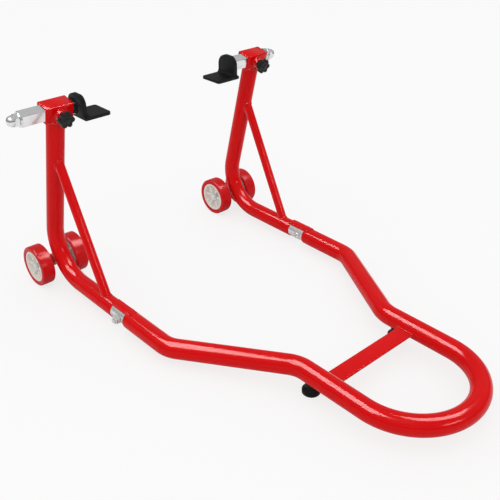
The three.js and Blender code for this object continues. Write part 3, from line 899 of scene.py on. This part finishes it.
def wheel_hub(middle, out, ribs=6, half_rib=1.7, draft=0.6):
    """Rim, web, boss and radial ribs, as two relief faces that meet at the rim and at the bore."""
    u, v = cross_axes(out)
    rib_top, web, rim, boss_in = 8.0, 2.0, 11.0, 13.0      # heights from the wheel's middle plane
    bore_r, boss_r, rib_start, rim_in, rim_out = 5.08, 9.0, 10.4, 24.8, 28.4
    open_steps = 9                                         # points between two ribs
    radii = [bore_r, 5.5, 8.6, boss_r, 9.7, rib_start, 11.4, 15, 19, 22.5, 23.6, 24.3,
             rim_in, 25.3, 27.9, rim_out]

    def relief(r, lateral, boss):
        if r <= boss_r:
            return boss - (0.4 if r < 5.3 else 0)
        if r >= rim_in:
            return rim - (0.5 if r > 28 else 0) - (0.3 if r < 25 else 0)
        height = web + (1.6 if r > 24.2 else 0)
        if lateral <= half_rib + 1e-6 and r >= rib_start + 1:
            return rib_top
        if lateral <= half_rib + 1e-6 and r >= rib_start:
            return web + 0.75 * (rib_top - web)
        return height

    def angles(r):
        foot = half_rib + draft
        edges = [-foot, -half_rib, -half_rib * 0.4, half_rib * 0.4, half_rib, foot]
        made = []
        for k in range(ribs):
            base = 2 * math.pi * k / ribs
            made += [(base + math.asin(e / r), abs(e)) for e in edges]
            first, last = foot / r, 2 * math.pi / ribs - foot / r
            made += [(base + first + (last - first) * i / open_steps, foot + 1)
                     for i in range(1, open_steps)]
        return made

    def ring(r, sign, boss):
        return [middle + (out * sign * relief(r, lateral, boss)
                          + (u * math.cos(a) + v * math.sin(a)) * r) * MM for a, lateral in angles(r)]

    outer = [ring(r, 1, web) for r in radii]
    inner = [ring(r, -1, boss_in) for r in radii]
    return loft(outer + inner[::-1], closed=True)


def add_axle(side):
    """Housing tube and saddle behind the bend, with the axle through it."""
    at = AXLE[side]
    housing = rectangle(AXLE_R + 0.1, -HOUSING_HALF, HOUSING_R, HOUSING_HALF, [0.4, 1.0, 1.0, 0.4])
    obj = build(f"axle_housing_{side}_tube", turned(housing, at, X))
    _, corner, _ = arm_corners(side)
    half = UP.angle(-Y) / 2
    bend_centre = corner + (UP - Y).normalized() * ARM_BEND * MM / math.sin(half)
    toward = (bend_centre - at).normalized()
    across = toward.cross(X)
    root, reach, high_half, wide_half = 8, SADDLE_REACH, SADDLE_HALF_HEIGHT, SADDLE_HALF_WIDTH
    saddle = rectangle(root, -high_half, reach, high_half, 1.2)

    def place(p, x):
        return at + X * x * MM + (toward * p.x + across * p.y) * MM

    combine(obj, prism(saddle, place, -wide_half, wide_half), "UNION")
    piece(obj, "frame", "red_coat", f"axle_housing_{side}")
    for end, x in (("a", -wide_half - 0.4), ("b", wide_half + 0.4)):
        run = [at + X * x * MM + (toward * (reach - 1) + across * w) * MM
               for w in range(-high_half, high_half + 1, 2)]
        weld(f"weld_saddle_{side}_{end}", run, WELDS["saddle"], closed=False)
    add_axle_rod(side, at)


def add_axle_rod(side, at):
    """The axle, and a washer and nut recessed in each wheel."""
    low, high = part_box(f"axle_{side}")
    length = (high.x - low.x) / MM
    start = Vector((low.x, at.y, at.z))
    rod = fillet([(0, 0), (AXLE_R, 0), (AXLE_R, length), (0, length)], [0, 0.8, 0.8, 0], closed=False)
    piece(build(f"axle_{side}_rod", turned(rod, start, X, 48)), "frame", "zinc", f"axle_{side}")
    for where in ("outer", "inner"):
        name = f"{side}_{where}"
        out = X * (SIDES[side] if where == "outer" else -SIDES[side])
        washer = centre(f"axle_washer_{name}")
        bore, washer_r, half_thick = AXLE_R + 0.1, 9, 0.7
        disc = rectangle(bore, -half_thick, washer_r, half_thick, 0.3)
        piece(build(f"axle_washer_{name}_disc", turned(disc, washer, out)), "frame", "zinc",
              f"axle_washer_{name}")
        flats, height = 15, 5
        seat = centre(f"axle_nut_{name}") - out * height / 2 * MM
        piece(build(f"axle_nut_{name}_hex", hex_nut(seat, out, flats, height, bore)), "frame",
              "zinc", f"axle_nut_{name}")


# --- joints between arms and handle ---


def add_joint(side):
    """Zinc connector with a flat on each side, its cross bolt and nut, and the red strip over it."""
    sign = SIDES[side]
    node_low, node_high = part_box(f"connector_{side}")
    arm_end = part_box(f"arm_{side}")[0].y
    middle = Vector((ARM_X[side], 0, LOW_RUN))
    bolt_at = centre(f"joint_nut_{side}")
    start, step, stop = (y / MM for y in (node_low.y, arm_end - 0.0002, node_high.y))
    bore, thick, thin = SPIGOT_BORE_R, SPIGOT_R, SPIGOT_STEP_R
    bar = fillet([(bore, start), (thick, start), (thick, step), (thin, step), (thin, stop),
                  (bore, stop)], [0.5, 0.8, 0.3, 0, 0.8, 0.5])
    obj = build(f"connector_{side}_spigot", turned(bar, middle, Y))
    half_face, past = 9, 20
    face = rectangle(-half_face, -half_face, half_face, half_face, 3)
    for way in (-1, 1):
        flat = prism(face, lambda p, x: Vector((ARM_X[side] + way * x * MM, bolt_at.y + p.x * MM,
                                                LOW_RUN + p.y * MM)), SPIGOT_FLAT, past)
        combine(obj, flat)
    piece(obj, "frame", "zinc", f"connector_{side}")
    add_bolt(side, Vector((ARM_X[side], bolt_at.y, LOW_RUN)), X * sign)
    add_key(side, arm_end)


def add_bolt(side, at, out):
    """Button head on the inside, chamfered nut and thread end on the outside."""
    seat, bolt_r, flats = JOINT_SEAT, 4, 13
    head = fillet([(0, -seat), (7, -seat), (7, -seat - 1.2), (5.8, -seat - 3.2), (3.4, -seat - 4.3),
                   (2.6, -seat - 4.3), (2.3, -seat - 2.2), (0, -seat - 2.2)],
                  [0, 0.3, 0.8, 1.2, 0.5, 0.2, 0.2, 0], closed=False)
    obj = build(f"joint_bolt_{side}_button", turned(head, at, out, 48))
    length = 2 * seat + 1 + JOINT_NUT + JOINT_STUB
    combine(obj, thread(at - out * (seat + 1) * MM, out, length, bolt_r), "UNION")
    piece(obj, "frame", "zinc", f"joint_bolt_{side}")
    nut = hex_nut(at + out * seat * MM, out, flats, JOINT_NUT, bolt_r + 0.05)
    piece(build(f"joint_nut_{side}_hex", nut), "frame", "zinc", f"joint_nut_{side}")


def add_key(side, arm_end, half_width=KEY_HALF_WIDTH, top=KEY_R, corner=0.7, bevel=0.8):
    """A curved strip whose underside follows the arm, the connector and the handle in turn."""
    low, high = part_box(f"joint_key_{side}")
    handle_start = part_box("handle_tube")[1].y
    over_spigot = SPIGOT_R + GAP
    stations = [(high.y, ARM_R), (arm_end, ARM_R), (arm_end - 0.2 * MM, over_spigot),
                (handle_start + 0.4 * MM, over_spigot), (handle_start + 0.2 * MM, HANDLE_R),
                (low.y, HANDLE_R)]

    def arc(radius, width):
        angles = [math.asin(width / radius) * (1 - 2 * i / 10) for i in range(11)]
        return [Vector((radius * math.sin(a), radius * math.cos(a))) for a in angles]

    def ring(y, radius, inset=0.0):
        under = arc(radius, half_width - inset)
        over = arc(top - inset, half_width - inset)[::-1]
        rounded = [0, corner] + [0] * (len(over) - 2) + [corner, 0]
        outside = fillet([under[-1], *over, under[0]], rounded, closed=False)
        return [Vector((ARM_X[side] + p.x * MM, y, LOW_RUN + p.y * MM)) for p in under + outside[1:-1]]

    first, last = stations[0], stations[-1]
    rings = [ring(first[0], first[1], bevel), ring(first[0] - bevel * MM, first[1])]
    rings += [ring(y, r) for y, r in stations[1:-1]]
    rings += [ring(last[0] + bevel * MM, last[1]), ring(last[0], last[1], bevel)]
    piece(build(f"joint_key_{side}_strip", loft(rings)), "frame", "red_coat", f"joint_key_{side}")
    add_key_welds(side, "arm", high.y, arm_end, ARM_R)
    add_key_welds(side, "handle", handle_start, low.y, HANDLE_R)


def add_key_welds(side, name, start, stop, radius):
    """A bead along each long edge of the strip, on one of the two tubes."""
    for edge, way in (("a", -1), ("b", 1)):
        across = way * (KEY_HALF_WIDTH + 0.3)
        lift = math.sqrt(radius ** 2 - across ** 2) + 0.2
        run = [Vector((ARM_X[side] + across * MM, start + (stop - start) * k / 4, LOW_RUN + lift * MM))
               for k in range(5)]
        weld(f"weld_key_{name}_{side}_{edge}", run, WELDS["key"], closed=False)


def add_foot(side):
    """Rubber buffer with a narrow neck, held by a pan-head screw in its counterbore."""
    foot = centre(f"foot_{side}")
    base = Vector((foot.x, foot.y, 0))
    hole_r, counterbore_r, counterbore, neck_top = FOOT_SCREW_R + 0.2, 6.2, 9, 22
    outline = fillet([(hole_r, counterbore), (counterbore_r, counterbore), (counterbore_r, 0),
                      (FOOT_R - 1.4, 0), (FOOT_R, 1.4), (FOOT_R, 7), (12.4, 9),
                      (FOOT_NECK_R + 0.2, 11), (FOOT_NECK_R, neck_top), (hole_r, neck_top)],
                     [0.3, 0.4, 0.5, 1.2, 1.2, 1.5, 1.5, 2, 0, 0])
    obj = build(f"foot_{side}_buffer", turned(outline, base, Z, 72))
    seat_r, seat_half = HANDLE_R + 0.05, 40
    seat = turned([(0, -seat_half), (seat_r, -seat_half), (seat_r, seat_half), (0, seat_half)],
                  Vector((foot.x, foot.y, LOOP_Z)), Y, 72)
    combine(obj, seat)
    piece(obj, "frame", "foot_rubber", f"foot_{side}")
    head_low, head_r, head_seat, tip = 4.8, 5.5, 8.8, 25.6
    screw = fillet([(0, head_low), (5.0, head_low), (head_r, 6.2), (head_r, head_seat),
                    (FOOT_SCREW_R, head_seat), (FOOT_SCREW_R, tip), (0, tip)],
                   [0, 0.8, 1, 0.3, 0.2, 0.6, 0], closed=False)
    obj = build(f"foot_screw_{side}_pan", turned(screw, base, Z, 40))
    slot_length, slot_width, slot_low, slot_top = 8, 1.2, 3, 6.8
    slot = rectangle(-slot_length / 2, -slot_width / 2, slot_length / 2, slot_width / 2, 0.2)
    combine(obj, prism(slot, lambda p, z: base + Vector((p.x, p.y, z)) * MM, slot_low, slot_top))
    combine(obj, prism(slot, lambda p, z: base + Vector((p.y, p.x, z)) * MM, slot_low, slot_top))
    piece(obj, "frame", "zinc", f"foot_screw_{side}")


add_handle()
add_crossbar()
for side_name in SIDES:
    add_arm(side_name)
    add_sleeve(side_name)
    add_clamp(side_name)
    add_adapter(side_name)
    add_pad(side_name)
    add_axle(side_name)
    for where_name in ("outer", "inner"):
        add_wheel(side_name, where_name)
    add_joint(side_name)
    add_foot(side_name)

# --- floor, light and camera ---


def add_floor():
    """Pale and even to the camera, a little darker to the light that it throws back."""
    mesh = bpy.data.meshes.new("floor")
    reach = 8.0
    mesh.from_pydata([(-reach, -reach, 0), (reach, -reach, 0), (reach, reach, 0), (-reach, reach, 0)], [],
                     [(0, 1, 2, 3)])
    floor = bpy.data.objects.new("floor", mesh)
    bpy.context.scene.collection.objects.link(floor)
    s = Shader("pale_floor")
    path = s.add("ShaderNodeLightPath").outputs
    cloud = s.span(s.noise(3), 0, 1)
    bounce = s.mix(cloud, rgb(0.66, 0.66, 0.66), rgb(0.70, 0.70, 0.70))
    tone = s.mix(path["Is Glossy Ray"], bounce, rgb(0.85, 0.85, 0.85))
    s.set(Base_Color=s.mix(path["Is Camera Ray"], tone, rgb(0.20, 0.20, 0.20)), Roughness=0.9,
          Specular_IOR_Level=0.0, Emission_Color=rgb(1, 1, 1),
          Emission_Strength=s.math("MULTIPLY", path["Is Camera Ray"], 0.76))
    mesh.materials.append(s.material)


def add_world(fill=0.95, gloss_high=0.5, gloss_level=0.12):
    """An even white sky; reflections see it darker, and darker still along the horizon."""
    world = bpy.data.worlds.new("studio")
    world.use_nodes = True
    bpy.context.scene.world = world
    tree = world.node_tree

    def node(kind, **inputs):
        made = tree.nodes.new(kind)
        for key, value in inputs.items():
            socket = made.inputs[key.replace("_", " ")]
            if isinstance(value, bpy.types.NodeSocket):
                tree.links.new(value, socket)
            else:
                socket.default_value = value
        return made

    way = node("ShaderNodeTexCoord").outputs["Generated"]
    height = node("ShaderNodeSeparateXYZ", Vector=way).outputs["Z"]
    steep = node("ShaderNodeMath")
    steep.operation = "ABSOLUTE"
    tree.links.new(height, steep.inputs[0])
    gloss = node("ShaderNodeMapRange", Value=steep.outputs[0], From_Min=0.05, From_Max=0.45,
                 To_Min=gloss_level, To_Max=gloss_high).outputs["Result"]
    glossy = node("ShaderNodeLightPath").outputs["Is Glossy Ray"]
    strength = node("ShaderNodeMapRange", Value=glossy, To_Min=fill, To_Max=gloss).outputs["Result"]
    background = tree.nodes["Background"]
    tree.links.new(strength, background.inputs["Strength"])
    background.inputs["Color"].default_value = rgb(1, 1, 1)


def add_light(name, direction, size, energy, diffuse=False, only=None):
    """A soft box that faces the middle of the stand; it may light only a group of pieces.

    Without diffuse, it is seen only as a highlight.
    """
    distance = 2.4
    target = Vector((MID_X, AXLE_Y - 0.35, 0.12))
    data = bpy.data.lights.new(name, "AREA")
    data.shape, data.size, data.size_y, data.energy = "RECTANGLE", size[0], size[1], energy
    lamp = bpy.data.objects.new(name, data)
    away = Vector(direction).normalized()
    lamp.location = target + away * distance
    lamp.rotation_euler = (-away).to_track_quat("-Z", "Y").to_euler()
    lamp.visible_diffuse = diffuse
    if only is not None:
        lamp.light_linking.receiver_collection = only
    bpy.context.scene.collection.objects.link(lamp)


def gather(name, *slots):
    """The pieces of some materials, gathered so that they can have soft boxes of their own."""
    group = bpy.data.collections.new(name)
    looks = {MATERIALS[slot]() for slot in slots}
    for obj in bpy.context.scene.objects:
        if obj.type == "MESH" and obj.data.materials and obj.data.materials[0] in looks:
            group.objects.link(obj)
    return group


def add_camera():
    """Stands off to the left of the handle, looking down at the stand."""
    offset = Vector((-0.7442, -1.1109, 0.7435))
    yaw, pitch, roll = math.radians(42.41), math.radians(30.285), -0.001
    lens_over_sensor = 755 / 500
    data = bpy.data.cameras.new("camera")
    data.sensor_width = 36
    data.lens = data.sensor_width * lens_over_sensor
    camera = bpy.data.objects.new("camera", data)
    forward = Vector((math.sin(yaw) * math.cos(pitch), math.cos(yaw) * math.cos(pitch), -math.sin(pitch)))
    camera.location = Vector((MID_X, AXLE_Y, 0)) + offset
    turn = forward.to_track_quat("-Z", "Y").to_matrix() @ Matrix.Rotation(roll, 3, "Z")
    camera.rotation_euler = turn.to_euler()
    bpy.context.scene.collection.objects.link(camera)
    bpy.context.scene.camera = camera


add_floor()
add_world()
painted = gather("painted", "red_coat", "tyre_red")
plated = gather("plated", "chrome", "zinc")
add_light("key", (-0.42, 0.32, 0.85), (2.1, 1.3), 230, only=painted)
add_light("second", (0.36, -0.2, 0.9), (1.2, 1.4), 120, only=painted)
add_light("front", (0.1, -0.92, 0.37), (0.9, 0.4), 12, only=painted)
add_light("shape", (-0.5, -0.3, 1.0), (1.4, 1.4), 4, diffuse=True)
add_light("metal_card", (-0.5, 0.1, 0.85), (1.5, 1.0), 14, only=plated)
add_camera()
for painted_piece in painted.objects:
    painted_piece.visible_glossy = False  # reflections show the studio and no paint
bpy.context.scene.view_settings.view_transform = "Standard"
